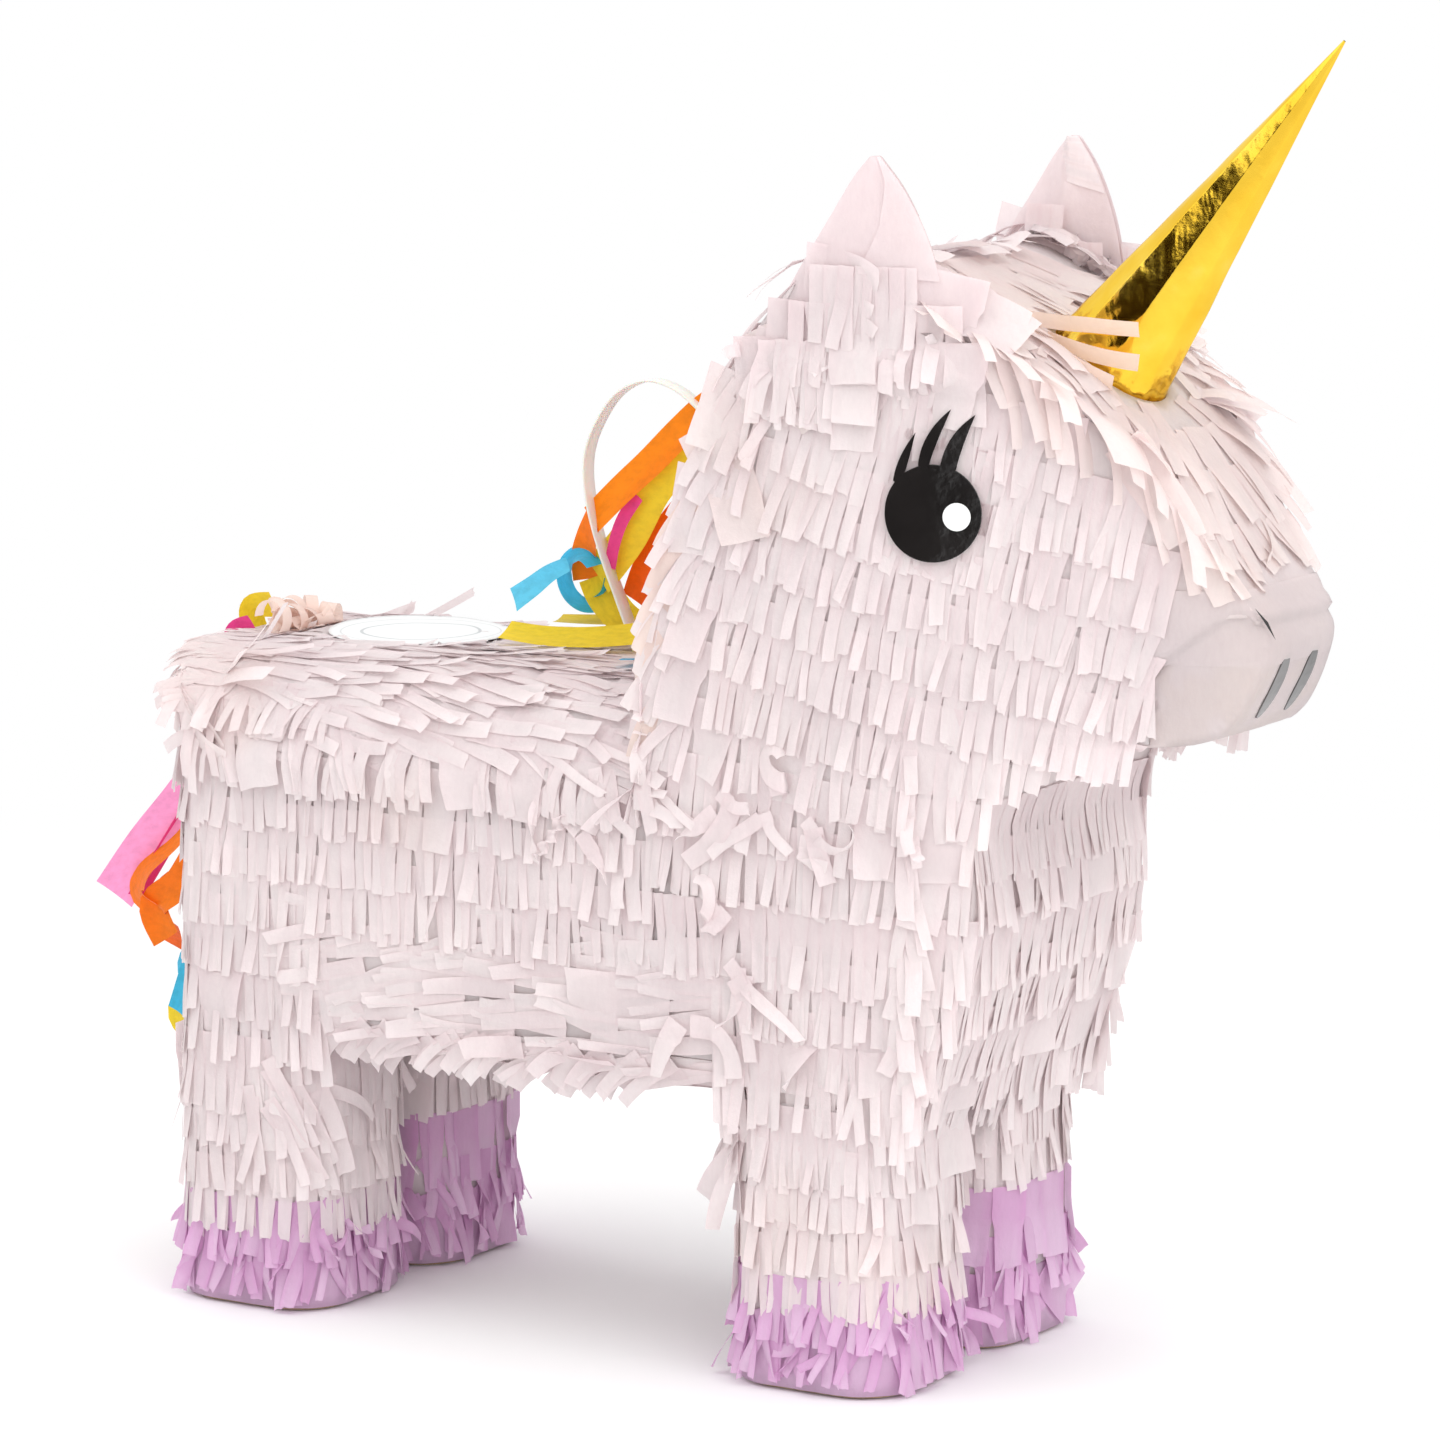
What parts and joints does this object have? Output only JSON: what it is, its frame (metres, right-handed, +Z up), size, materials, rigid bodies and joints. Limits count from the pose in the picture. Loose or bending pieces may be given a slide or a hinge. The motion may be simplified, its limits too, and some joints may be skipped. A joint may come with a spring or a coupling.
{
  "type": "unicorn pinata",
  "caption": "Hollow cardboard unicorn pinata covered in tissue fringe, with a foil horn, ribbon mane and tail, hanging strap and fill flap.",
  "frame": {"origin": "on the floor under the middle of the bounding box, half way from the tail's tip to the horn's tip", "axes": "+X forward towards the head, +Y to the animal's left, +Z up"},
  "size_m": [0.5753, 0.164, 0.5227],
  "materials": {
    "cardboard": "raw grey-brown chipboard, matt",
    "gummed_tape": "kraft paper tape, matt",
    "pink_tissue": "very pale pink tissue paper, thin and slightly translucent",
    "lilac_tissue": "lilac tissue paper, thin and slightly translucent",
    "snout_paper": "smooth pale pink paper glued flat",
    "gold_foil": "crinkled mirror-gold metallised foil on card",
    "strap_plastic": "off-white translucent plastic strap",
    "black_sticker": "gloss black vinyl",
    "white_sticker": "gloss white vinyl",
    "grey_sticker": "satin dark grey vinyl",
    "label_paper": "plain white paper sticker",
    "ribbon_orange": "orange crepe paper",
    "ribbon_yellow": "yellow crepe paper",
    "ribbon_pink": "pink crepe paper",
    "ribbon_cyan": "cyan crepe paper"
  },
  "bodies": {
    "carcass": {"side_board_right": "cardboard", "side_board_left": "cardboard", "back_board": "cardboard", "rump_board": "cardboard", "belly_board": "cardboard", "crest_board": "cardboard", "forehead_board": "cardboard", "snout_board": "cardboard", "jaw_board": "cardboard", "chest_board": "cardboard", "leg_tube_front_right": "cardboard", "leg_tube_front_left": "cardboard", "leg_tube_rear_right": "cardboard", "leg_tube_rear_left": "cardboard", "hoof_soles": "cardboard", "leg_tapes": "gummed_tape", "ear_right": "pink_tissue", "ear_left": "pink_tissue", "horn_cone": "gold_foil", "horn_flange": "cardboard", "strap_anchor_cards": "cardboard", "hanging_strap": "strap_plastic", "fringe_side_right": "pink_tissue", "fringe_side_left": "pink_tissue", "fringe_neck_right": "pink_tissue", "fringe_neck_left": "pink_tissue", "fringe_cheek_right": "pink_tissue", "fringe_cheek_left": "pink_tissue", "fringe_back": "pink_tissue", "fringe_rump": "pink_tissue", "fringe_belly": "pink_tissue", "fringe_crest": "pink_tissue", "fringe_forehead": "pink_tissue", "fringe_chest": "pink_tissue", "snout_paper": "snout_paper", "fringe_leg_front_right": "pink_tissue", "fringe_leg_front_left": "pink_tissue", "fringe_leg_rear_right": "pink_tissue", "fringe_leg_rear_left": "pink_tissue", "fringe_hoof_front_right": "lilac_tissue", "fringe_hoof_front_left": "lilac_tissue", "fringe_hoof_rear_right": "lilac_tissue", "fringe_hoof_rear_left": "lilac_tissue", "eye_sticker_right": "black_sticker", "eye_sticker_left": "black_sticker", "eye_glints": "white_sticker", "nostril_stickers": "grey_sticker", "mane_orange": "ribbon_orange", "mane_yellow": "ribbon_yellow", "mane_pink": "ribbon_pink", "mane_cyan": "ribbon_cyan"},
    "flap": {"fill_flap": "cardboard", "flap_tissue": "pink_tissue", "seal_label": "label_paper"},
    "tail": {"tail_tape": "pink_tissue", "tail_pink": "ribbon_pink", "tail_orange": "ribbon_orange", "tail_yellow": "ribbon_yellow", "tail_blue": "ribbon_cyan"}
  },
  "joints": [
    {"name": "fill_flap_hinge", "type": "hinge", "parent": "carcass", "child": "flap", "pos_m": [-0.171, 0, 0.27], "axis": [0, -1, 0], "range_deg": [0, 105]},
    {"name": "tail_swing", "type": "hinge", "parent": "carcass", "child": "tail", "pos_m": [-0.198, 0, 0.264], "axis": [0, 1, 0], "range_deg": [0, 75]}
  ]
}
